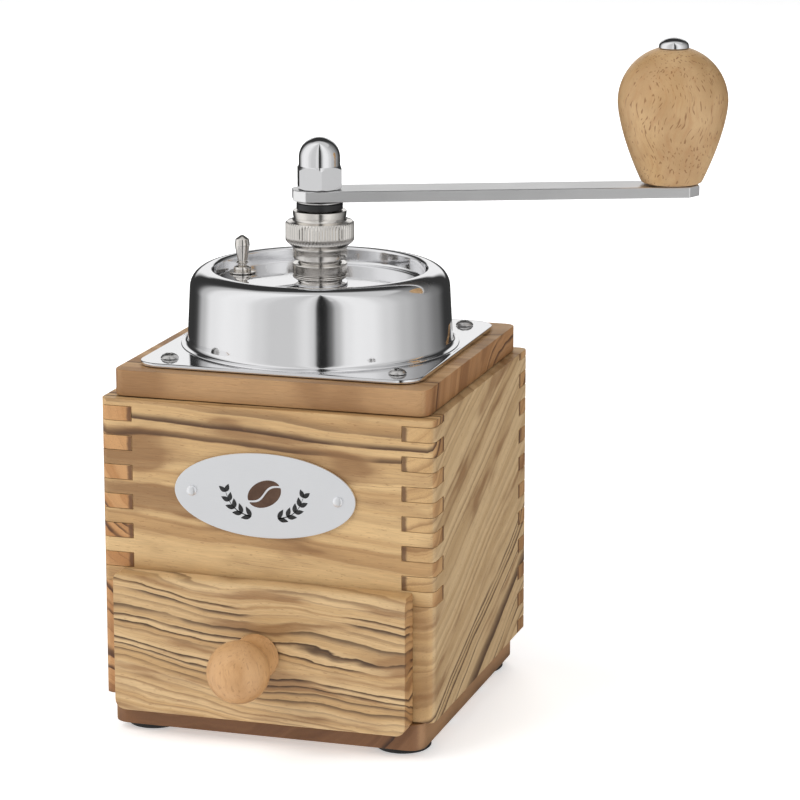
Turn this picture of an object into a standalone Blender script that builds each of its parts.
"""Box coffee mill: a finger-jointed wooden case with a drawer, a steel hopper dome, a conical burr
set, an adjusting nut and a crank with a turned handle.

Every size is in metres and +Z is up. The mill stands on z = 0. The world origin is the middle of
the footprint of the whole mill, crank and drawer knob included, so the shaft axis stands beside it.
"""

import math

import bmesh
import bpy
from mathutils import Matrix, Vector

MM = 0.001

# ---- driving dimensions -------------------------------------------------------------------------
FIT_GAP = 0.3 * MM  # between pieces that touch
JOINT_GAP = 0.1 * MM  # between the fingers of the case corners

FOOT_RADIUS = 8.6 * MM
FOOT_HEIGHT = 2.4 * MM
FOOT_X = 40.0 * MM
FOOT_FRONT_Y = -43.0 * MM
FOOT_BACK_Y = 38.0 * MM

BASE_BOTTOM = 2.7 * MM
BASE_THICKNESS = 8.0 * MM
BASE_WIDTH = 98.9 * MM
BASE_FRONT_Y = -55.0 * MM
BASE_BACK_Y = 49.5 * MM
BASE_CORNER = 5.0 * MM
BASE_SCREW_X = 45.5 * MM
BASE_SCREW_YS = (-17.0 * MM, 16.0 * MM)
BASE_SCREW_LENGTH = 18.0 * MM

CASE_WIDTH = 105.0 * MM
CASE_BOTTOM = 11.0 * MM
CASE_TOP = 103.8 * MM
WALL = 10.0 * MM
CASE_CORNER = 2.2 * MM
SPARE = 1.0 * MM  # what a panel is cut oversize by before the case's rounded block trims it
FINGER = 4.55 * MM
TOP_FINGER = 2.15 * MM
FRONT_FINGERS = 12

TOP_WIDTH = 98.9 * MM
TOP_HEIGHT = 112.0 * MM
TOP_CORNER = 3.5 * MM
PLUG_DEPTH = 4.0 * MM
THROAT_RADIUS = 30.0 * MM

FLANGE_WIDTH = 89.2 * MM
FLANGE_CORNER = 7.5 * MM
FLANGE_TOP = 113.5 * MM
SHEET = 1.0 * MM
DOME_FOOT_RADIUS = 42.6 * MM
DOME_RADIUS = 41.0 * MM
DOME_SHOULDER_RADIUS = 40.2 * MM
DOME_CREST = 137.2 * MM
DOME_FLOOR = 131.7 * MM
RECESS_RADIUS = 33.0 * MM
DOME_SCREW_X = 36.1 * MM
DOME_SEGMENTS = 44

SHAFT_RADIUS = 4.5 * MM
STUD_RADIUS = 3.8 * MM
DRIVE_FLATS = 8.0 * MM
BORE_RADIUS = 4.8 * MM

BUSH_RADIUS = 6.5 * MM
BUSH_TOP = 151.7 * MM
BUSH_FLANGE = 3.0 * MM
RING_RADIUS = 8.45 * MM
NUT_BOTTOM = 139.9 * MM
NUT_TOP = 154.9 * MM
KNURL_RADIUS = 10.6 * MM
ARM_BOTTOM = 158.1 * MM
ARM_THICKNESS = 3.4 * MM
ARM_WIDTH = 13.6 * MM
ARM_OVERHANG = 8.3 * MM
ARM_CLIP = 3.6 * MM
CAP_NUT_FLATS = 13.0 * MM
CAP_NUT_TOP = 177.5 * MM
CAP_NUT_TURN = math.radians(272)
SPRING_SEAT_TOP = 111.3 * MM

CRANK_RADIUS = 108.9 * MM
CRANK_ANGLE = math.radians(21.6)
HANDLE_BOTTOM = 162.0 * MM
HANDLE_WIDEST = 187.2 * MM
HANDLE_TOP = 203.4 * MM
HANDLE_RADIUS = 17.0 * MM
HANDLE_TAPER_POWER = 1.54
SPINDLE_RADIUS = 2.5 * MM
SPINDLE_CAP_TOP = 206.8 * MM

COVER_START = math.radians(114)
COVER_END = math.radians(230)
COVER_RADIUS = 32.0 * MM
COVER_HUB = 8.6 * MM
COVER_THICKNESS = 0.7 * MM
FILL_START = math.radians(124)
FILL_END = math.radians(220)
FILL_INNER = 13.0 * MM
FILL_OUTER = 29.6 * MM
LEVER_REACH = 27.8 * MM
LEVER_ANGLE = math.radians(169)

HOUSING_RADIUS = 38.0 * MM
HOUSING_SCREW_RADIUS = 33.5 * MM
OUTER_BURR_RADIUS = 19.0 * MM
BRIDGE_THICKNESS = 2.5 * MM
BURR_TOP = 83.7 * MM
BURR_BOTTOM = 70.0 * MM

DRAWER_FACE_WIDTH = 92.2 * MM
DRAWER_FACE_BOTTOM = 8.9 * MM
DRAWER_FACE_TOP = 51.4 * MM
DRAWER_FACE_THICKNESS = 8.2 * MM
DRAWER_FACE_CORNER = 3.2 * MM
DRAWER_HALF_WIDTH = 42.0 * MM
DRAWER_SIDE = 6.0 * MM
DRAWER_TOP = 43.7 * MM
DRAWER_BACK_Y = 36.0 * MM
DRAWER_KNOB_RADIUS = 9.4 * MM
DRAWER_KNOB_LENGTH = 26.0 * MM

PLATE_HALF_WIDTH = 28.5 * MM
PLATE_HALF_HEIGHT = 13.0 * MM
PLATE_Z = 77.5 * MM
PLATE_PIN_X = 23.0 * MM

# ---- derived places -----------------------------------------------------------------------------
HALF_CASE = CASE_WIDTH / 2
FRONT_PANEL_BOTTOM = CASE_TOP - TOP_FINGER - FRONT_FINGERS * FINGER
BASE_TOP = BASE_BOTTOM + BASE_THICKNESS
TOP_BOARD_BOTTOM = CASE_TOP + FIT_GAP
PLUG_BOTTOM = TOP_BOARD_BOTTOM - PLUG_DEPTH
PLUG_HALF = HALF_CASE - WALL - FIT_GAP
NOTCH = HALF_CASE - WALL - JOINT_GAP  # where a panel stops between its fingers
PAST_FACE = HALF_CASE + SPARE
BRIDGE_TOP = PLUG_BOTTOM - FIT_GAP
BRIDGE_BOTTOM = BRIDGE_TOP - BRIDGE_THICKNESS
BUSH_FLANGE_TOP = DOME_FLOOR - SHEET - FIT_GAP
BUSH_FLANGE_BOTTOM = BUSH_FLANGE_TOP - BUSH_FLANGE
ARM_TOP = ARM_BOTTOM + ARM_THICKNESS
STUD_BORE = STUD_RADIUS + FIT_GAP
DRAWER_FACE_BACK_Y = -HALF_CASE - FIT_GAP
DRAWER_FACE_Y = DRAWER_FACE_BACK_Y - DRAWER_FACE_THICKNESS
DRAWER_KNOB_Z = (DRAWER_FACE_BOTTOM + DRAWER_FACE_TOP) / 2
DRAWER_FLOOR = CASE_BOTTOM + 0.8 * MM
DRAWER_FLOOR_THICKNESS = 3.0 * MM
HANDLE_X = CRANK_RADIUS * math.cos(CRANK_ANGLE)
HANDLE_Y = CRANK_RADIUS * math.sin(CRANK_ANGLE)

# The footprint runs from the case's left side to the handle, and from the drawer knob to the handle.
FRONT_REACH = DRAWER_FACE_Y - FIT_GAP - DRAWER_KNOB_LENGTH
MILL_X = (HALF_CASE - HANDLE_X - HANDLE_RADIUS) / 2
MILL_Y = -(FRONT_REACH + HANDLE_Y + HANDLE_RADIUS) / 2


# ---- scene, materials and modelling helpers -----------------------------------------------------
def clear_scene():
    for old in list(bpy.data.objects):
        bpy.data.objects.remove(old, do_unlink=True)


def new_collection(name):
    collection = bpy.data.collections.new(name)
    bpy.context.scene.collection.children.link(collection)
    return collection


def new_material(name, colour, roughness, metallic=0.0):
    material = bpy.data.materials.new(name)
    material.use_nodes = True
    shader = material.node_tree.nodes["Principled BSDF"]
    shader.inputs["Base Color"].default_value = (*colour, 1.0)
    shader.inputs["Roughness"].default_value = roughness
    shader.inputs["Metallic"].default_value = metallic
    material.diffuse_color = (*colour, 1.0)
    return material


def new_empty(name, location, parent=None, angle=0.0):
    empty = bpy.data.objects.new(name, None)
    empty.location = location
    empty.rotation_euler = (0, 0, angle)
    empty.parent = parent
    PARTS.objects.link(empty)
    return empty


def place(part, parent, material, location=(0, 0, 0), rotation=(0, 0, 0)):
    """Puts a part under its empty and gives it its material."""
    part.location = location
    part.rotation_euler = rotation
    part.parent = parent
    part.data.materials.clear()
    part.data.materials.append(material)
    return part


def object_from_bmesh(name, build):
    mesh = bpy.data.meshes.new(name)
    build.to_mesh(mesh)
    build.free()
    part = bpy.data.objects.new(name, mesh)
    PARTS.objects.link(part)
    return part


def finished(part):
    """Applies a part's modifiers and removes its cutters, so that copies can share its mesh."""
    bpy.context.view_layer.update()
    evaluated = part.evaluated_get(bpy.context.evaluated_depsgraph_get())
    part.data = bpy.data.meshes.new_from_object(evaluated)
    tools = [m.object for m in part.modifiers if m.type == "BOOLEAN"]
    part.modifiers.clear()
    for tool in tools:
        bpy.data.objects.remove(tool, do_unlink=True)
    return part


def repeated(names, make):
    """Makes the first of several like pieces, and the others as objects that share its mesh."""
    first = finished(make(names[0]))
    pieces = [first]
    for name in names[1:]:
        twin = first.copy()
        twin.name = name
        PARTS.objects.link(twin)
        pieces.append(twin)
    return pieces


def blocks(name, corners):
    """One object of separate boxes, each between its low and its high corner."""
    build = bmesh.new()
    for low, high in corners:
        size = Vector(high) - Vector(low)
        centre = (Vector(high) + Vector(low)) / 2
        matrix = Matrix.Translation(centre) @ Matrix.Diagonal((*size, 1))
        bmesh.ops.create_cube(build, size=1.0, matrix=matrix)
    return object_from_bmesh(name, build)


def block(name, low, high):
    return blocks(name, [(low, high)])


def round_upright_edges(part, radius, segments=4):
    """Rounds the edges that run along Z, before anything is cut into the block."""
    build = bmesh.new()
    build.from_mesh(part.data)
    upright = [e for e in build.edges if abs(e.verts[0].co.z - e.verts[1].co.z) > MM]
    bmesh.ops.bevel(build, geom=upright, offset=radius, segments=segments, profile=0.5, affect="EDGES")
    build.to_mesh(part.data)
    build.free()
    return part


def soften(part, width, segments=2, angle=40):
    """A Bevel on the edges sharper than the angle, in degrees."""
    bevel = part.modifiers.new("soft_edges", "BEVEL")
    bevel.width = width
    bevel.segments = segments
    bevel.limit_method = "ANGLE"
    bevel.angle_limit = math.radians(angle)
    return part


def turned(name, profile, segments=32, hollow=False):
    """A piece turned about Z. The profile is (radius, z) from the top, down the outer side.

    A hollow profile goes on up its bore and is closed into a ring."""
    mesh = bpy.data.meshes.new(name)
    count = len(profile)
    edges = [(i, i + 1) for i in range(count - 1)]
    if hollow:
        edges.append((count - 1, 0))
    mesh.from_pydata([(r, 0, z) for r, z in profile], edges, [])
    part = bpy.data.objects.new(name, mesh)
    PARTS.objects.link(part)
    screw = part.modifiers.new("turning", "SCREW")
    screw.steps = segments
    screw.render_steps = segments
    screw.use_merge_vertices = True
    screw.merge_threshold = 0.01 * MM
    screw.use_smooth_shade = True
    return part


def arc(centre, radius, start, end, steps):
    """Points of a round stretch of a profile or outline, from one angle to another, in degrees."""
    angles = [math.radians(start + (end - start) * i / steps) for i in range(steps + 1)]
    return [(centre[0] + radius * math.cos(a), centre[1] + radius * math.sin(a)) for a in angles]


def flat_outline(name, loops, thickness, z=0.0):
    """A plate from closed outlines in XY, the first its rim and the others its holes, standing on z."""
    curve = bpy.data.curves.new(name, "CURVE")
    curve.dimensions = "2D"
    curve.fill_mode = "BOTH"
    curve.extrude = thickness / 2
    for loop in loops:
        spline = curve.splines.new("POLY")
        spline.points.add(len(loop) - 1)
        for point, (x, y) in zip(spline.points, loop):
            point.co = (x, y, 0, 1)
        spline.use_cyclic_u = True
    guide = bpy.data.objects.new(name + "_outline", curve)
    bpy.context.scene.collection.objects.link(guide)
    bpy.context.view_layer.update()
    evaluated = guide.evaluated_get(bpy.context.evaluated_depsgraph_get())
    mesh = bpy.data.meshes.new_from_object(evaluated)
    bpy.data.objects.remove(guide)
    build = bmesh.new()
    build.from_mesh(mesh)
    bmesh.ops.remove_doubles(build, verts=build.verts, dist=0.001 * MM)
    bmesh.ops.dissolve_limit(build, angle_limit=math.radians(0.5), verts=build.verts, edges=build.edges)
    bmesh.ops.recalc_face_normals(build, faces=build.faces)
    bmesh.ops.translate(build, vec=(0, 0, z + thickness / 2), verts=build.verts)
    return object_from_bmesh(name, build)


def circle(radius, segments, centre=(0, 0)):
    angles = [math.tau * i / segments for i in range(segments)]
    return [(centre[0] + radius * math.cos(a), centre[1] + radius * math.sin(a)) for a in angles]


def loft(name, sections, bore=None):
    """A solid through closed rings of equal count, from the bottom up, with a bore of rings if given."""
    build = bmesh.new()

    def skin(rings, flip):
        made = [[build.verts.new(p) for p in ring] for ring in rings]
        for low, high in zip(made, made[1:]):
            for i in range(len(low)):
                j = (i + 1) % len(low)
                quad = (low[i], low[j], high[j], high[i])
                build.faces.new(quad[::-1] if flip else quad)
        return made

    outer = skin(sections, False)
    if bore is None:
        build.faces.new(outer[0][::-1])
        build.faces.new(outer[-1])
        return object_from_bmesh(name, build)
    inner = skin(bore, True)
    for rim, hole, flip in ((outer[0], inner[0], True), (outer[-1], inner[-1], False)):
        for i in range(len(rim)):
            j = (i + 1) % len(rim)
            quad = (rim[i], rim[j], hole[j], hole[i])
            build.faces.new(quad[::-1] if flip else quad)
    return object_from_bmesh(name, build)


def as_tool(part):
    """Makes a solid a cutter: out of the build, drawn as a wire."""
    for collection in list(part.users_collection):
        collection.objects.unlink(part)
    CUTTERS.objects.link(part)
    part.hide_render = True
    part.display_type = "WIRE"
    return part


def boolean(part, tool, operation):
    modifier = part.modifiers.new(operation.lower(), "BOOLEAN")
    modifier.operation = operation
    modifier.solver = "EXACT"
    modifier.object = as_tool(tool)
    return part


def place_tool(tool, parent, location=(0, 0, 0), rotation=(0, 0, 0)):
    tool.location = location
    tool.rotation_euler = rotation
    tool.parent = parent
    return tool


def drill(part, parent, radius, x, y, low, high, segments=16):
    """Cuts an upright round hole."""
    tool = turned(part.name + "_drill", [(0, high), (radius, high), (radius, low), (0, low)], segments)
    boolean(part, place_tool(tool, parent, (x, y, 0)), "DIFFERENCE")


# ---- case ---------------------------------------------------------------------------------------
def finger_levels(bottom):
    """Heights of the corner joint's steps from the top of the case down to a panel's bottom."""
    levels = [CASE_TOP, CASE_TOP - TOP_FINGER]
    while levels[-1] - FINGER > bottom + 0.5 * JOINT_GAP:
        levels.append(levels[-1] - FINGER)
    return levels + [bottom]


def finger_spans(bottom, first):
    """The (low, high) spans of a panel edge's fingers: every second step from the first."""
    levels = finger_levels(bottom)
    spans = []
    for i in range(first, len(levels) - 1, 2):
        high = levels[i] - (JOINT_GAP / 2 if i > 0 else 0)
        low = levels[i + 1] + (JOINT_GAP / 2 if i < len(levels) - 2 else 0)
        spans.append((low, high))
    return spans


def panel(name, axis, material, core, fingers):
    """A case panel: its core and its fingers, trimmed by the case's block with its rounded corners."""
    board = place(block(name, *core), axis, material)
    boolean(board, place_tool(blocks(name + "_fingers", fingers), axis), "UNION")
    half = HALF_CASE
    case = block(name + "_case", (-half, -half, -WALL), (half, half, CASE_TOP + WALL))
    round_upright_edges(case, CASE_CORNER, 2)
    return boolean(board, place_tool(case, axis), "INTERSECT")


def front_or_back_panel(name, axis, material, bottom, facing):
    """A panel across the case. Facing is -1 for the front and 1 for the back."""
    y_low, y_high = sorted((facing * (HALF_CASE - WALL), facing * PAST_FACE))
    core = ((-NOTCH, y_low, bottom), (NOTCH, y_high, CASE_TOP))
    fingers = []
    for low, high in finger_spans(bottom, 0):
        for side in (-1, 1):
            x_low, x_high = sorted((side * (NOTCH - MM), side * PAST_FACE))
            fingers.append(((x_low, y_low, low), (x_high, y_high, high)))
    return panel(name, axis, material, core, fingers)


def side_panel(name, axis, material, side):
    """A panel along the case. Side is -1 for the left and 1 for the right."""
    x_low, x_high = sorted((side * (HALF_CASE - WALL), side * PAST_FACE))
    core = ((x_low, -NOTCH, CASE_BOTTOM), (x_high, NOTCH, CASE_TOP))
    # Under the front panel the side runs on to the front face, down to the bottom.
    front = finger_spans(FRONT_PANEL_BOTTOM, 1) + [(CASE_BOTTOM, FRONT_PANEL_BOTTOM - JOINT_GAP / 2)]
    fingers = [((x_low, -PAST_FACE, low), (x_high, MM - NOTCH, high)) for low, high in front]
    for low, high in finger_spans(CASE_BOTTOM, 1):
        fingers.append(((x_low, NOTCH - MM, low), (x_high, PAST_FACE, high)))
    board = panel(name, axis, material, core, fingers)
    for y in BASE_SCREW_YS:
        drill(board, axis, 1.8 * MM, side * BASE_SCREW_X, y, 0, BASE_BOTTOM + BASE_SCREW_LENGTH + MM, 8)
    return board


def base_board(axis, material):
    """The board under the case, with countersunk holes for its screws."""
    half = BASE_WIDTH / 2
    board = block("base_board", (-half, BASE_FRONT_Y, BASE_BOTTOM), (half, BASE_BACK_Y, BASE_TOP))
    round_upright_edges(board, BASE_CORNER, 5)
    place(board, axis, material)
    sink = [(0, BASE_TOP + MM), (1.9 * MM, BASE_TOP + MM), (1.9 * MM, BASE_BOTTOM + 2.1 * MM)]
    sink += [(4.0 * MM, BASE_BOTTOM), (4.0 * MM, BASE_BOTTOM - MM), (0, BASE_BOTTOM - MM)]
    for side in (-1, 1):
        for y in BASE_SCREW_YS:
            tool = turned("base_board_sink", sink, 12)
            boolean(board, place_tool(tool, axis, (side * BASE_SCREW_X, y, 0)), "DIFFERENCE")
    return board


def feet(axis, material):
    """Rubber discs under the base board, near its corners."""
    r, h, edge = FOOT_RADIUS, FOOT_HEIGHT, 0.7 * MM
    profile = [(0, h), (r, h), (r, edge), (r - edge, 0), (0, 0)]
    names = [f"foot_{end}_{side}" for end in ("front", "back") for side in ("left", "right")]
    discs = repeated(names, lambda name: turned(name, profile, 24))
    places = [(side * FOOT_X, y, 0) for y in (FOOT_FRONT_Y, FOOT_BACK_Y) for side in (-1, 1)]
    for disc, spot in zip(discs, places):
        place(disc, axis, material, spot)


def base_screws(axis, material):
    """Countersunk screws that hold the base board to the side panels."""
    tip = BASE_SCREW_LENGTH
    profile = [(0, tip), (0.5 * MM, tip), (1.5 * MM, tip - 2 * MM), (1.5 * MM, 2.1 * MM)]
    profile += [(3.5 * MM, 0), (0, 0)]
    names = [f"base_screw_{end}_{side}" for end in ("front", "back") for side in ("left", "right")]
    screws = repeated(names, lambda name: slotted_screw(name, profile, 0, -1, 12))
    places = [(side * BASE_SCREW_X, y) for y in BASE_SCREW_YS for side in (-1, 1)]
    for screw, (x, y) in zip(screws, places):
        place(screw, axis, material, (x, y, BASE_BOTTOM + 0.2 * MM))


def slotted_screw(name, profile, face, facing, segments, slots=1):
    """A turned screw with one slot, or a cross of two, in its head, which looks along Z by facing."""
    screw = turned(name, profile, segments)
    half, arm, depth = 0.45 * MM, 1.5 * MM, 0.9 * MM
    ends = sorted((face - facing * depth, face + facing * MM))
    for along, across in ((arm, half), (half, arm))[:slots]:
        tool = block(name + "_slot", (-along, -across, ends[0]), (along, across, ends[1]))
        tool.parent = screw
        boolean(screw, tool, "DIFFERENCE")
    return screw


def top_board(axis, material):
    """The board under the dome, with a plug that drops into the case and a throat for the beans."""
    half = TOP_WIDTH / 2
    board = block("top_board", (-half, -half, TOP_BOARD_BOTTOM), (half, half, TOP_HEIGHT))
    round_upright_edges(board, TOP_CORNER, 4)
    place(board, axis, material)
    plug = block("top_board_plug", (-PLUG_HALF, -PLUG_HALF, PLUG_BOTTOM),
                 (PLUG_HALF, PLUG_HALF, TOP_BOARD_BOTTOM + MM))
    boolean(board, place_tool(plug, axis), "UNION")
    drill(board, axis, THROAT_RADIUS, 0, 0, PLUG_BOTTOM - MM, TOP_HEIGHT + MM, 32)
    for x, y in dome_screw_places():
        drill(board, axis, 1.7 * MM, x, y, PLUG_BOTTOM + 2 * MM, TOP_HEIGHT + MM, 8)
    for x, y in housing_screw_places():
        drill(board, axis, 1.8 * MM, x, y, PLUG_BOTTOM - MM, TOP_HEIGHT - 3 * MM, 8)
    return board


# ---- hopper dome --------------------------------------------------------------------------------
def dome_screw_places():
    return [(sx * DOME_SCREW_X, sy * DOME_SCREW_X) for sy in (-1, 1) for sx in (-1, 1)]


def housing_screw_places():
    angles = [math.radians(30 + 120 * i) for i in range(3)]
    return [(HOUSING_SCREW_RADIUS * math.cos(a), HOUSING_SCREW_RADIUS * math.sin(a)) for a in angles]


def sector(start, end, inner, outer, steps):
    """Outline of a ring sector between two angles."""
    a, b = math.degrees(start), math.degrees(end)
    return arc((0, 0), outer, a, b, steps) + arc((0, 0), inner, b, a, steps // 2)


def hopper_dome(axis, material):
    """The pressed steel hopper: a square flange, a round wall and a recessed floor with a fill hole."""
    flange_bottom = TOP_HEIGHT + FIT_GAP
    half = FLANGE_WIDTH / 2
    flange = block("hopper_dome_flange", (-half, -half, flange_bottom), (half, half, FLANGE_TOP))
    round_upright_edges(flange, FLANGE_CORNER, 5)
    corner, crest_radius = 6.0 * MM, 1.0 * MM
    shoulder = (DOME_SHOULDER_RADIUS - corner + 0.2 * MM, DOME_CREST - corner)
    outer = [(BORE_RADIUS + 2 * MM, DOME_FLOOR), (RECESS_RADIUS - MM, DOME_FLOOR)]
    outer += [(RECESS_RADIUS, DOME_FLOOR + MM), (RECESS_RADIUS, DOME_CREST - crest_radius)]
    outer += arc((RECESS_RADIUS + crest_radius, DOME_CREST - crest_radius), crest_radius, 135, 90, 1)
    outer += arc(shoulder, corner, 72, 0, 4)
    outer += [(DOME_RADIUS, FLANGE_TOP + 2.4 * MM)]
    outer += arc((DOME_RADIUS + 2 * MM, FLANGE_TOP + 2 * MM), 1.9 * MM, 215, 215, 1)[:1]
    outer += [(DOME_FOOT_RADIUS, FLANGE_TOP - 0.3 * MM), (DOME_FOOT_RADIUS - MM, flange_bottom + 0.2 * MM)]
    inner_wall = DOME_RADIUS - SHEET
    inner = [(inner_wall, flange_bottom + 0.2 * MM), (DOME_SHOULDER_RADIUS - SHEET, DOME_CREST - corner)]
    inner += [(DOME_SHOULDER_RADIUS - 3.2 * MM, DOME_CREST - SHEET - 0.6 * MM)]
    inner += [(RECESS_RADIUS + SHEET, DOME_CREST - SHEET - 0.6 * MM), (RECESS_RADIUS + SHEET, DOME_FLOOR)]
    inner += [(RECESS_RADIUS - 0.4 * MM, DOME_FLOOR - SHEET), (BORE_RADIUS + 2 * MM, DOME_FLOOR - SHEET)]
    dome = turned("hopper_dome", outer + inner, DOME_SEGMENTS, hollow=True)
    place(dome, axis, material)
    mouth = [(0, FLANGE_TOP + MM), (inner_wall, FLANGE_TOP + MM), (inner_wall, flange_bottom - MM)]
    hole = turned("hopper_dome_mouth", mouth + [(0, flange_bottom - MM)], DOME_SEGMENTS)
    boolean(flange, place_tool(hole, axis), "DIFFERENCE")
    boolean(dome, place_tool(flange, axis), "UNION")
    fill = flat_outline("hopper_dome_fill", [sector(FILL_START, FILL_END, FILL_INNER, FILL_OUTER, 12)],
                        4 * MM, DOME_FLOOR - 2.5 * MM)
    boolean(dome, place_tool(fill, axis), "DIFFERENCE")
    for x, y in dome_screw_places():
        drill(dome, axis, 1.8 * MM, x, y, flange_bottom - MM, FLANGE_TOP + MM, 8)
    return dome


def dome_screws(axis, material):
    """Cross-head screws in the corners of the flange."""
    rise = 1.4 * MM
    profile = [(0, rise), (1.4 * MM, 1.2 * MM), (2.3 * MM, 0.8 * MM), (2.75 * MM, 0)]
    profile += [(1.4 * MM, 0), (1.4 * MM, -7 * MM), (0.4 * MM, -9 * MM), (0, -9 * MM)]
    names = [f"dome_screw_{end}_{side}" for end in ("front", "back") for side in ("left", "right")]
    screws = repeated(names, lambda name: slotted_screw(name, profile, rise, 1, 12, 2))
    for screw, (x, y) in zip(screws, dome_screw_places()):
        place(screw, axis, material, (x, y, FLANGE_TOP + 0.2 * MM))


def hopper_cover(axis, material):
    """The turning shutter over the fill hole: a hub ring about the bush and a sector leaf."""
    a, b = math.degrees(COVER_START), math.degrees(COVER_END)
    rim = arc((0, 0), COVER_RADIUS, a, b, 14) + arc((0, 0), COVER_HUB, b, a + 360, 12)
    bore = circle(BUSH_RADIUS + FIT_GAP, 24)
    x, y = lever_place()
    rivet_hole = circle(1.5 * MM, 10, (x, y))
    cover = flat_outline("hopper_cover", [rim, bore, rivet_hole], COVER_THICKNESS, DOME_FLOOR + 0.25 * MM)
    return place(cover, axis, material)


def lever_place():
    return LEVER_REACH * math.cos(LEVER_ANGLE), LEVER_REACH * math.sin(LEVER_ANGLE)


def cover_lever(axis, material):
    """The little turned lever riveted to the shutter."""
    z = DOME_FLOOR + 0.25 * MM + COVER_THICKNESS + 0.2 * MM
    shape = [(0, 11.8), (2.1, 10.5), (2.35, 8.4), (1.5, 3.8), (2.0, 3.2), (1.4, 2.5), (2.8, 1.4), (3.1, 0.6)]
    shape += [(4.2, 0.4), (4.2, 0), (1.2, 0), (1.2, -0.8), (0, -0.8)]
    lever = turned("cover_lever", [(r * MM, z + h * MM) for r, h in shape], 16)
    x, y = lever_place()
    return place(lever, axis, material, (x, y, 0))


# ---- bearing, adjusting nut and thrust ring -----------------------------------------------------
def ring(name, bore, radius, low, high, segments=24):
    return turned(name, [(bore, high), (radius, high), (radius, low), (bore, low)], segments, hollow=True)


def bearing_bush(axis, material):
    """The fixed bush that carries the shaft through the dome floor; its outside is threaded."""
    flange = 9.5 * MM
    profile = [(BORE_RADIUS, BUSH_TOP), (BUSH_RADIUS, BUSH_TOP), (BUSH_RADIUS, BUSH_FLANGE_TOP)]
    profile += [(flange, BUSH_FLANGE_TOP), (flange, BUSH_FLANGE_BOTTOM), (BORE_RADIUS, BUSH_FLANGE_BOTTOM)]
    return place(turned("bearing_bush", profile, 24, hollow=True), axis, material)


def bush_rings(axis, material):
    """The lock ring and ring nut that clamp the bush to the dome, with the shutter's hub between."""
    bore, waist = BUSH_RADIUS + FIT_GAP, 7.9 * MM
    low, shoulder, high = [DOME_FLOOR + rise * MM for rise in (2.0, 2.4, 3.3)]
    profile = [(bore, high), (RING_RADIUS, high), (RING_RADIUS, shoulder), (waist, low), (bore, low)]
    place(turned("bush_lock_ring", profile, 24, hollow=True), axis, material)
    nut_low = high + 0.2 * MM
    place(ring("bush_ring_nut", bore, RING_RADIUS, nut_low, nut_low + 3.3 * MM), axis, material)


def adjusting_nut(axis, material):
    """The knurled nut that sets the grind: it rides on the bush and carries the crank."""
    bore, neck, shelf = BUSH_RADIUS + FIT_GAP, 8.35 * MM, BUSH_TOP + 1.2 * MM
    neck_low, knurl_high, knurl_low, skirt_high = [NUT_TOP - drop * MM for drop in (1.6, 3.5, 9.0, 11.3)]
    profile = [(BORE_RADIUS, NUT_TOP), (neck, NUT_TOP), (neck, neck_low), (KNURL_RADIUS, knurl_high)]
    profile += [(KNURL_RADIUS, knurl_low), (neck, skirt_high), (neck, NUT_BOTTOM), (bore, NUT_BOTTOM)]
    profile += [(bore, shelf), (BORE_RADIUS, shelf)]
    return place(turned("adjusting_nut", profile, 32, hollow=True), axis, material)


def thrust_ring(axis, material):
    """The black bearing ring that the crank presses on the nut."""
    low = NUT_TOP + FIT_GAP
    return place(ring("thrust_ring", BORE_RADIUS, 7.15 * MM, low, low + 2.0 * MM), axis, material)


# ---- burr set -----------------------------------------------------------------------------------
def burr_housing(axis, material):
    """The cast funnel under the top board that holds the outer burr on a lip."""
    top, lip, mouth = BRIDGE_BOTTOM - FIT_GAP, 17.2 * MM, BURR_BOTTOM - 2 * MM
    seat, barrel, flange = OUTER_BURR_RADIUS + FIT_GAP, 22.6 * MM, 3 * MM
    profile = [(27 * MM, top), (HOUSING_RADIUS, top), (HOUSING_RADIUS, top - flange), (30 * MM, top - flange)]
    profile += [(23.5 * MM, BURR_TOP + MM), (barrel, BURR_TOP - 2 * MM), (barrel, mouth), (lip, mouth)]
    profile += [(lip, BURR_BOTTOM - FIT_GAP), (seat, BURR_BOTTOM - FIT_GAP), (seat, BURR_TOP + FIT_GAP)]
    housing = turned("burr_housing", profile, 32, hollow=True)
    place(housing, axis, material)
    for x, y in housing_screw_places():
        drill(housing, axis, 1.7 * MM, x, y, top - 5 * MM, top + MM, 8)
    return housing


def bearing_bridge(axis, material):
    """The spider clamped between funnel and top board; its hub guides the shaft above the burrs."""
    half_window = math.radians(48)
    middles = [math.radians(90 + 120 * i) for i in range(3)]
    windows = [sector(a - half_window, a + half_window, 9.5 * MM, 26.5 * MM, 8) for a in middles]
    screw_holes = [circle(1.7 * MM, 8, p) for p in housing_screw_places()]
    bore = circle(6.4 * MM, 16)
    bridge = flat_outline("bearing_bridge", [circle(HOUSING_RADIUS, 32), bore, *windows, *screw_holes],
                          BRIDGE_THICKNESS, BRIDGE_BOTTOM)
    place(bridge, axis, material)
    hub = ring("bearing_bridge_hub", BORE_RADIUS, 7.8 * MM, BRIDGE_BOTTOM - 4 * MM, BRIDGE_TOP - 0.5 * MM)
    return boolean(bridge, place_tool(hub, axis), "UNION")


def housing_screws(axis, material):
    """Pan-head screws up through funnel and spider into the top board."""
    head = -1.8 * MM
    profile = [(0, 15 * MM), (0.4 * MM, 15 * MM), (1.4 * MM, 13 * MM), (1.4 * MM, 0), (2.75 * MM, 0)]
    profile += [(2.3 * MM, -1.2 * MM), (1.2 * MM, head), (0, head)]
    names = [f"housing_screw_{number}" for number in (1, 2, 3)]
    screws = repeated(names, lambda name: slotted_screw(name, profile, head, -1, 12))
    z = BRIDGE_BOTTOM - FIT_GAP - 3 * MM - 0.2 * MM
    for screw, (x, y) in zip(screws, housing_screw_places()):
        place(screw, axis, material, (x, y, z))


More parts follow.
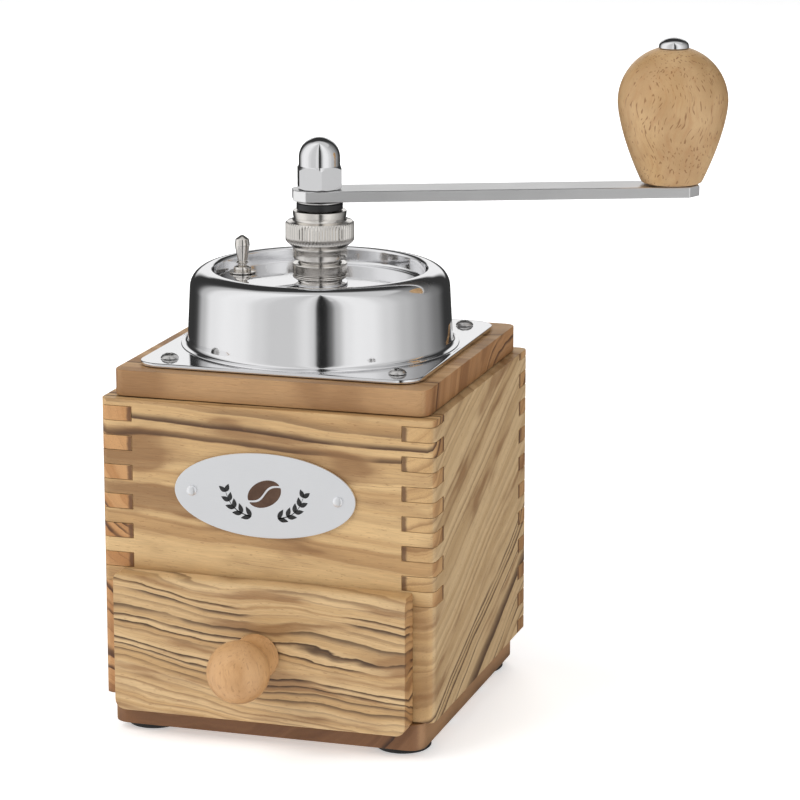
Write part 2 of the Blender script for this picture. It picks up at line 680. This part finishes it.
def toothed(radius, depth, teeth, z, twist):
    """A ring of sawteeth: each tooth has a crest and a root."""
    points = []
    for i in range(teeth):
        for share, r in ((0.0, radius), (0.75, radius - depth)):
            a = math.tau * (i + share) / teeth + twist
            points.append((r * math.cos(a), r * math.sin(a), z))
    return points


def outer_burr(axis, material):
    """The fixed ring burr, toothed inside, wide at the mouth and closing down to the grinding edge."""
    teeth, twist = 20, math.radians(12)
    throat = (BURR_BOTTOM + BURR_TOP) / 2
    # In a bore the points at radius minus depth are the teeth, which reach inwards.
    levels = [(BURR_BOTTOM, 16.5 * MM, 0.6 * MM), (throat, 15.1 * MM, 0.6 * MM)]
    levels.append((BURR_TOP, 18.4 * MM, 0.8 * MM))
    bore = [toothed(r, d, teeth, z, twist * i) for i, (z, r, d) in enumerate(levels)]
    wall = [toothed(OUTER_BURR_RADIUS, 0, teeth, z, twist * i) for i, (z, _, _) in enumerate(levels)]
    return place(loft("outer_burr", wall, bore), axis, material)


def inner_burr(axis, material):
    """The turning cone burr with helical teeth, on the flats of the shaft."""
    levels = [(BURR_BOTTOM + 0.7 * MM, 15.3 * MM, 0.5 * MM), (BURR_BOTTOM + 2.7 * MM, 14.9 * MM, 0.7 * MM),
              (BURR_TOP - 5 * MM, 11.6 * MM, 1.2 * MM), (BURR_TOP, 8.4 * MM, 1.4 * MM)]
    rings = [toothed(r, d, 12, z, math.radians(14) * i) for i, (z, r, d) in enumerate(levels)]
    burr = loft("inner_burr", rings)
    place(burr, axis, material)
    drill(burr, axis, BORE_RADIUS, 0, 0, BURR_BOTTOM - MM, BURR_TOP + MM, 24)
    return burr


def lift_spring(axis, material):
    """The compression spring that keeps the crank down on the adjusting nut."""
    wire, radius, turns, per_turn = 0.7 * MM, 6.7 * MM, 5, 12
    clear = wire + 0.4 * MM
    low, high = SPRING_SEAT_TOP + clear, BUSH_FLANGE_BOTTOM - clear
    curve = bpy.data.curves.new("lift_spring", "CURVE")
    curve.dimensions = "3D"
    curve.bevel_depth = wire
    curve.bevel_resolution = 1
    curve.use_fill_caps = True
    spline = curve.splines.new("POLY")
    count = turns * per_turn
    spline.points.add(count)
    for i, point in enumerate(spline.points):
        a = math.tau * i / per_turn
        # The end turns lie flat, so the pitch eases in and out.
        share = i / count
        height = low + (high - low) * (share * share * (3 - 2 * share) * 0.5 + share * 0.5)
        point.co = (radius * math.cos(a), radius * math.sin(a), height, 1)
    spring = bpy.data.objects.new("lift_spring", curve)
    PARTS.objects.link(spring)
    return place(spring, axis, material)


# ---- crank --------------------------------------------------------------------------------------
def drive_flats(part, axis, low, high):
    """Four flats on a shaft, which the crank arm or the cone burr turns with."""
    for i in range(4):
        half = DRIVE_FLATS / 2
        tool = block(part.name + "_flat", (half, -half - MM, low), (half + 2 * MM, half + MM, high))
        boolean(part, place_tool(tool, axis, rotation=(0, 0, i * math.pi / 2)), "DIFFERENCE")


def crank_shaft(axis, material):
    """The shaft from the cone burr's nut to the cap nut, with a stud at each end."""
    stud_low, seat_low = BURR_BOTTOM - 9.3 * MM, BURR_BOTTOM + 0.4 * MM
    seat_high, stud_high = ARM_TOP + 0.1 * MM, CAP_NUT_TOP - 6.3 * MM
    profile = [(0, stud_high), (STUD_RADIUS, stud_high), (STUD_RADIUS, seat_high), (SHAFT_RADIUS, seat_high)]
    profile += [(SHAFT_RADIUS, seat_low), (STUD_RADIUS, seat_low), (STUD_RADIUS, stud_low), (0, stud_low)]
    shaft = place(turned("crank_shaft", profile, 20), axis, material)
    drive_flats(shaft, axis, ARM_BOTTOM - 0.1 * MM, ARM_TOP + 3 * MM)
    drive_flats(shaft, axis, seat_low - 3 * MM, BURR_TOP + 0.3 * MM)
    return shaft


def crank_arm(axis, material):
    """The flat bar with clipped ends, bored for the shaft and the handle's spindle."""
    half, clip = ARM_WIDTH / 2, ARM_CLIP
    near, far = -ARM_OVERHANG, CRANK_RADIUS + ARM_OVERHANG
    rim = [(near + clip, -half), (far - clip, -half), (far, -half + clip), (far, half - clip)]
    rim += [(far - clip, half), (near + clip, half), (near, half - clip), (near, -half + clip)]
    flat = DRIVE_FLATS / 2 + 0.2 * MM
    side = math.sqrt(BORE_RADIUS**2 - flat**2)
    seat = [(flat, -side), (flat, side), (side, flat), (-side, flat)]
    seat += [(-flat, side), (-flat, -side), (-side, -flat), (side, -flat)]
    spindle_hole = circle(SPINDLE_RADIUS + FIT_GAP, 20, (CRANK_RADIUS, 0))
    arm = flat_outline("crank_arm", [rim, seat, spindle_hole], ARM_THICKNESS, ARM_BOTTOM)
    return soften(place(arm, axis, material), 0.35 * MM, 1, 50)


def hexagon_prism(name, low, high):
    corner = CAP_NUT_FLATS / math.sqrt(3)
    build = bmesh.new()
    matrix = Matrix.Translation((0, 0, (low + high) / 2))
    bmesh.ops.create_cone(build, cap_ends=True, segments=6, radius1=corner, radius2=corner, depth=high - low,
                          matrix=matrix)
    return object_from_bmesh(name, build)


def cap_nut(axis, material):
    """A domed hexagon nut: a hexagon bar turned down to a dome, with its corners broken."""
    low, hex_top = ARM_TOP + 0.25 * MM, CAP_NUT_TOP - 9.0 * MM
    corner, dome = CAP_NUT_FLATS / math.sqrt(3), 6.35 * MM
    nut = hexagon_prism("cap_nut", low, CAP_NUT_TOP + MM)
    place(nut, axis, material, rotation=(0, 0, CAP_NUT_TURN))
    shape = [(0, CAP_NUT_TOP)] + arc((0, CAP_NUT_TOP - dome), dome, 72, 0, 4)
    shape += [(dome, hex_top), (corner + 0.1 * MM, hex_top - 0.8 * MM), (corner + 0.1 * MM, low + 0.4 * MM)]
    shape += [(corner - 0.6 * MM, low - 0.1 * MM), (0, low - 0.1 * MM)]
    boolean(nut, place_tool(turned("cap_nut_turning", shape, 30), axis), "INTERSECT")
    drill(nut, axis, STUD_BORE, 0, 0, low - MM, CAP_NUT_TOP - 5.3 * MM, 16)
    return nut


def crank_rings(axis, steel):
    """The washer under the arm, the spring's seat on the shaft and the washer under the cone burr."""
    washer_top = ARM_BOTTOM - 0.25 * MM
    place(ring("arm_washer", BORE_RADIUS, 7.1 * MM, washer_top - 0.4 * MM, washer_top), axis, steel)
    place(ring("spring_seat", BORE_RADIUS, 8.2 * MM, SPRING_SEAT_TOP - 3 * MM, SPRING_SEAT_TOP), axis, steel)
    low, high = BURR_BOTTOM - 1.4 * MM, BURR_BOTTOM + 0.1 * MM
    place(ring("burr_washer", STUD_BORE, 8.5 * MM, low, high), axis, steel)


def burr_nut(axis, material):
    """The hexagon nut under the cone burr."""
    low, high = BURR_BOTTOM - 8.0 * MM, BURR_BOTTOM - 1.7 * MM
    nut = place(hexagon_prism("burr_nut", low, high), axis, material)
    drill(nut, axis, STUD_BORE, 0, 0, low - MM, high + MM, 16)
    return nut


def handle_spindle(axis, material):
    """The pin riveted into the arm, which the wooden handle turns on."""
    low, high = ARM_BOTTOM + 0.2 * MM, HANDLE_TOP + 1.5 * MM
    profile = [(0, high), (SPINDLE_RADIUS, high), (SPINDLE_RADIUS, low), (0, low)]
    return place(turned("handle_spindle", profile, 16), axis, material)


def spindle_cap(axis, material):
    """The bright domed cap on top of the spindle."""
    low, roof = HANDLE_TOP + 0.2 * MM, HANDLE_TOP + 1.8 * MM
    radius, bore, edge = 4.6 * MM, SPINDLE_RADIUS + FIT_GAP, low + 0.7 * MM
    rise = SPINDLE_CAP_TOP - edge
    profile = [(x, edge + rise * y / radius) for x, y in arc((0, 0), radius, 90, 0, 3)]
    profile[0] = (0, SPINDLE_CAP_TOP)
    profile += [(radius, low), (bore, low), (bore, roof), (0, roof)]
    return place(turned("spindle_cap", profile, 20), axis, material)


def handle_radius(z):
    """Half the handle's width at a height below its widest place."""
    drop = (HANDLE_WIDEST - z) / MM
    return HANDLE_RADIUS - 0.0539 * MM * drop**HANDLE_TAPER_POWER


def handle_knob(axis, material):
    """The turned wooden handle, bored for its spindle."""
    bore = SPINDLE_RADIUS + 0.35 * MM
    profile = [(bore, HANDLE_TOP), (4.9 * MM, HANDLE_TOP)]
    profile += arc((0, HANDLE_WIDEST), HANDLE_RADIUS, 66, 0, 4)
    rim = HANDLE_BOTTOM + 0.9 * MM
    for z in (HANDLE_WIDEST - 7 * MM, HANDLE_WIDEST - 15.5 * MM, rim):
        profile.append((handle_radius(z), z))
    profile += [(8.6 * MM, HANDLE_BOTTOM), (bore, HANDLE_BOTTOM)]
    return place(turned("handle_knob", profile, 32, hollow=True), axis, material)


# ---- drawer -------------------------------------------------------------------------------------
def drawer_front(axis, material):
    """The drawer's face, with rounded lower corners, a bull-nosed upper edge and a rebate behind."""
    half, radius = DRAWER_FACE_WIDTH / 2, DRAWER_FACE_CORNER
    low, high = DRAWER_FACE_BOTTOM, DRAWER_FACE_TOP
    rim = arc((half - radius, low + radius), radius, -90, 0, 4)
    rim += arc((half - MM, high - MM), MM, 0, 90, 2)
    rim += arc((-half + MM, high - MM), MM, 90, 180, 2)
    rim += arc((-half + radius, low + radius), radius, 180, 270, 4)
    face = flat_outline("drawer_front", [rim], DRAWER_FACE_THICKNESS)
    place(face, axis, material, (0, DRAWER_FACE_BACK_Y, 0), (math.pi / 2, 0, 0))
    nose = 3.2 * MM
    top, front = high, DRAWER_FACE_Y
    # A bar with a quarter-round channel: what it removes leaves the nose on the upper front edge.
    channel = [(front - MM, top + MM), (front - MM, top - nose)]
    channel += arc((front + nose, top - nose), nose, 180, 90, 4)
    channel += [(front + nose, top + MM)]
    bar = flat_outline("drawer_front_nose", [channel], CASE_WIDTH)
    place_tool(bar, axis, (-CASE_WIDTH / 2, 0, 0), (math.pi / 2, 0, math.pi / 2))
    boolean(face, bar, "DIFFERENCE")
    # The rebate lets the face close over the front edge of the base board.
    rebate = block("drawer_front_rebate", (-HALF_CASE, BASE_FRONT_Y - FIT_GAP, low - MM),
                   (HALF_CASE, -HALF_CASE, BASE_TOP + 0.25 * MM))
    boolean(face, place_tool(rebate, axis), "DIFFERENCE")
    bore, reach = 2.1 * MM, 15 * MM
    hole = turned("drawer_front_drill", [(0, reach), (bore, reach), (bore, -reach), (0, -reach)], 16)
    boolean(face, place_tool(hole, axis, (0, -HALF_CASE, DRAWER_KNOB_Z), (-math.pi / 2, 0, 0)), "DIFFERENCE")
    return face


def drawer_box(axis, material):
    """Sides, back and bottom of the drawer."""
    half, side = DRAWER_HALF_WIDTH, DRAWER_SIDE
    front_y, back_y = -HALF_CASE, DRAWER_BACK_Y
    floor = CASE_BOTTOM + FIT_GAP
    for hand, sign in (("left", -1), ("right", 1)):
        xs = sorted((sign * half, sign * (half - side)))
        board = block(f"drawer_{hand}_side", (xs[0], front_y, floor), (xs[1], back_y, DRAWER_TOP))
        place(board, axis, material)
    inner = half - side - FIT_GAP
    place(block("drawer_back", (-inner, back_y - side, floor), (inner, back_y, DRAWER_TOP)), axis, material)
    bottom = block("drawer_bottom", (-inner, front_y, DRAWER_FLOOR),
                   (inner, back_y - side - FIT_GAP, DRAWER_FLOOR + DRAWER_FLOOR_THICKNESS))
    place(bottom, axis, material)


def drawer_knob(axis, material):
    """The turned ball knob: a ball on a short flared neck, with a blind hole for its screw."""
    r, length, neck = DRAWER_KNOB_RADIUS, DRAWER_KNOB_LENGTH, 6.3 * MM
    ball = [(0, length)] + arc((0, length - r), r, 70, -38, 6)
    profile = ball + [(neck, length - 1.86 * r), (neck, 6.5 * MM), (6.7 * MM, 2.5 * MM), (7.0 * MM, 0.6 * MM)]
    profile += [(6.6 * MM, 0), (2.1 * MM, 0), (2.1 * MM, 12 * MM), (0, 12 * MM)]
    knob = turned("drawer_knob", profile, 24)
    return place(knob, axis, material, (0, DRAWER_FACE_Y - FIT_GAP, DRAWER_KNOB_Z), (math.pi / 2, 0, 0))


def drawer_knob_screw(axis, material):
    """The screw from inside the drawer into the knob."""
    head = 2.2 * MM
    profile = [(0, 19.5 * MM), (0.6 * MM, 19.5 * MM), (1.75 * MM, 17.5 * MM), (1.75 * MM, 0), (3.5 * MM, 0)]
    profile += [(3.2 * MM, -head + 0.6 * MM), (2.2 * MM, -head), (0, -head)]
    screw = finished(slotted_screw("drawer_knob_screw", profile, -head, -1, 12))
    return place(screw, axis, material, (0, -HALF_CASE, DRAWER_KNOB_Z), (math.pi / 2, 0, 0))


# ---- nameplate ----------------------------------------------------------------------------------
def nameplate(axis, plate_material, pin_material, front_panel):
    """A plain oval plate on the front, with two round-headed pins."""
    flattening = PLATE_HALF_HEIGHT / PLATE_HALF_WIDTH
    rim = [(x, y * flattening) for x, y in circle(PLATE_HALF_WIDTH, 40)]
    holes = [circle(1.1 * MM, 12, (side * PLATE_PIN_X, 0)) for side in (-1, 1)]
    thickness = 0.8 * MM
    back = -HALF_CASE - 0.2 * MM
    plate = flat_outline("nameplate", [rim, *holes], thickness)
    place(plate, axis, plate_material, (0, back, PLATE_Z), (math.pi / 2, 0, 0))
    head = thickness + 0.4 * MM
    profile = [(0, head + 0.9 * MM), (0.9 * MM, head + 0.7 * MM), (1.6 * MM, head), (0.8 * MM, head)]
    profile += [(0.8 * MM, -5.5 * MM), (0.2 * MM, -7 * MM), (0, -7 * MM)]
    pins = repeated(("nameplate_pin_left", "nameplate_pin_right"), lambda name: turned(name, profile, 12))
    bore, depth, turn = 1.1 * MM, 8 * MM, (math.pi / 2, 0, 0)
    for pin, side in zip(pins, (-1, 1)):
        place(pin, axis, pin_material, (side * PLATE_PIN_X, back, PLATE_Z), turn)
        hole = turned("front_panel_drill", [(0, MM), (bore, MM), (bore, -depth), (0, -depth)], 10)
        place_tool(hole, axis, (side * PLATE_PIN_X, -HALF_CASE, PLATE_Z), turn)
        boolean(front_panel, hole, "DIFFERENCE")


# ---- assembly -----------------------------------------------------------------------------------
clear_scene()
PARTS = new_collection("box_coffee_mill")
CUTTERS = new_collection("cutters")

OLIVE = new_material("olive_wood", (0.62, 0.44, 0.25), 0.45)
BEECH = new_material("beech", (0.58, 0.34, 0.16), 0.40)
PLAIN_WOOD = new_material("drawer_wood", (0.66, 0.50, 0.30), 0.55)
CHROME = new_material("chrome", (0.80, 0.80, 0.80), 0.06, 1.0)
NICKEL = new_material("nickel", (0.70, 0.68, 0.64), 0.22, 1.0)
STEEL = new_material("steel", (0.55, 0.55, 0.55), 0.30, 1.0)
CAST_IRON = new_material("cast_iron", (0.12, 0.12, 0.12), 0.60, 1.0)
RUBBER = new_material("black_rubber", (0.02, 0.02, 0.02), 0.75)
BLACK_PLASTIC = new_material("black_plastic", (0.02, 0.02, 0.02), 0.45)
PLATE_METAL = new_material("satin_aluminium", (0.75, 0.75, 0.76), 0.35, 1.0)

mill = new_empty("mill_axis", (MILL_X, MILL_Y, 0))
grind_axis = new_empty("grind_lift_axis", (0, 0, 0), mill)
nut_axis = new_empty("adjusting_nut_axis", (0, 0, 0), grind_axis)
crank_axis = new_empty("crank_axis", (0, 0, 0), grind_axis, CRANK_ANGLE)
handle_axis = new_empty("handle_axis", (CRANK_RADIUS, 0, 0), crank_axis, -CRANK_ANGLE)
cover_axis = new_empty("cover_axis", (0, 0, 0), mill)
drawer_axis = new_empty("drawer_slide", (0, 0, 0), mill)

feet(mill, RUBBER)
base_board(mill, OLIVE)
base_screws(mill, STEEL)
front = front_or_back_panel("front_panel", mill, OLIVE, FRONT_PANEL_BOTTOM, -1)
front_or_back_panel("back_panel", mill, OLIVE, CASE_BOTTOM, 1)
side_panel("left_panel", mill, OLIVE, -1)
side_panel("right_panel", mill, OLIVE, 1)
nameplate(mill, PLATE_METAL, STEEL, front)
top_board(mill, OLIVE)
hopper_dome(mill, CHROME)
dome_screws(mill, STEEL)
bearing_bush(mill, NICKEL)
bush_rings(mill, NICKEL)
bearing_bridge(mill, CAST_IRON)
burr_housing(mill, CAST_IRON)
housing_screws(mill, STEEL)
outer_burr(mill, STEEL)
lift_spring(mill, STEEL)

thrust_ring(grind_axis, BLACK_PLASTIC)
adjusting_nut(nut_axis, NICKEL)
hopper_cover(cover_axis, CHROME)
cover_lever(cover_axis, NICKEL)

crank_shaft(crank_axis, STEEL)
crank_arm(crank_axis, CHROME)
crank_rings(crank_axis, STEEL)
cap_nut(crank_axis, NICKEL)
inner_burr(crank_axis, STEEL)
burr_nut(crank_axis, STEEL)
handle_spindle(handle_axis, STEEL)
spindle_cap(handle_axis, CHROME)
handle_knob(handle_axis, BEECH)

drawer_front(drawer_axis, OLIVE)
drawer_box(drawer_axis, PLAIN_WOOD)
drawer_knob(drawer_axis, BEECH)
drawer_knob_screw(drawer_axis, STEEL)
